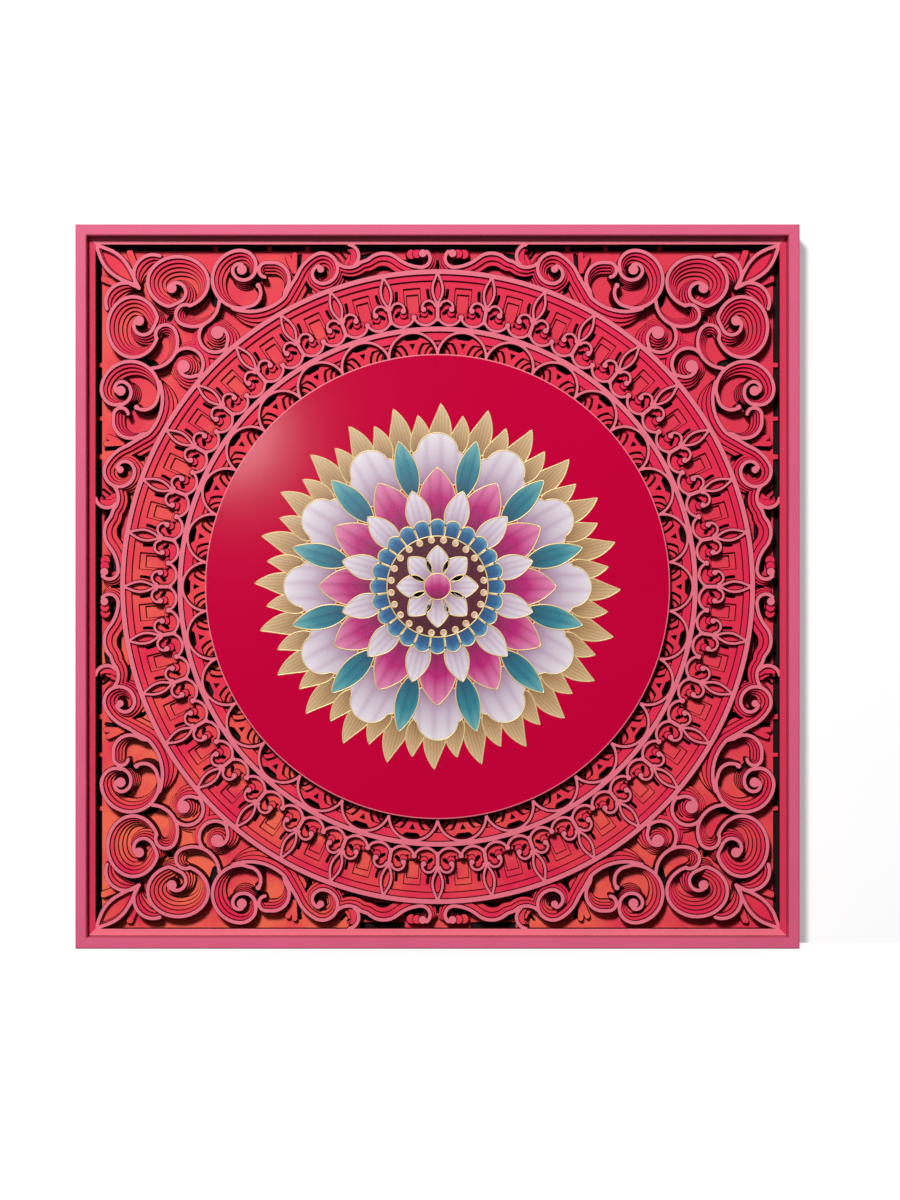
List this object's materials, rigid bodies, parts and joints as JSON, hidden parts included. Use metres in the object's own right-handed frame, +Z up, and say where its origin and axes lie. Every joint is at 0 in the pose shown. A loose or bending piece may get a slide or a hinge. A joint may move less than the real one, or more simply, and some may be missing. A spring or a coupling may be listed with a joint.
{
  "type": "framed fretwork wall panel",
  "caption": "Square shadow-box wall panel: a slim mitred frame around a stack of pierced fretwork plies with corner scrolls, ringed fleurs and a round glossy picture disc in the middle.",
  "frame": {"origin": "middle of the lower edge, at mid depth, where the panel stands", "axes": "+Z up, +X to the viewer's right, the fretwork faces -Y and the wall side faces +Y"},
  "size_m": [0.6, 0.04, 0.6],
  "materials": {
    "frame_paint": "satin pink paint on wood",
    "back_board": "bare brown hardboard",
    "base_paint": "matt red paint",
    "ply_5_paint": "matt orange-red paint",
    "ply_4_paint": "matt orange-red paint",
    "ply_3_paint": "matt red paint",
    "ply_2_paint": "matt rose-red paint",
    "face_paint": "satin coral-pink paint",
    "disc_gloss": "glossy crimson with a printed rosette",
    "hanger_steel": "plain zinc-plated steel"
  },
  "bodies": {
    "root": {"frame_rail_top": "frame_paint", "frame_rail_bottom": "frame_paint", "frame_rail_left": "frame_paint", "frame_rail_right": "frame_paint", "back_board": "back_board", "fret_base": "base_paint", "fret_ply_5": "ply_5_paint", "fret_ply_4": "ply_4_paint", "fret_ply_3": "ply_3_paint", "fret_ply_2": "ply_2_paint", "fret_face": "face_paint", "picture_disc": "disc_gloss", "wall_hanger": "hanger_steel"}
  },
  "joints": []
}
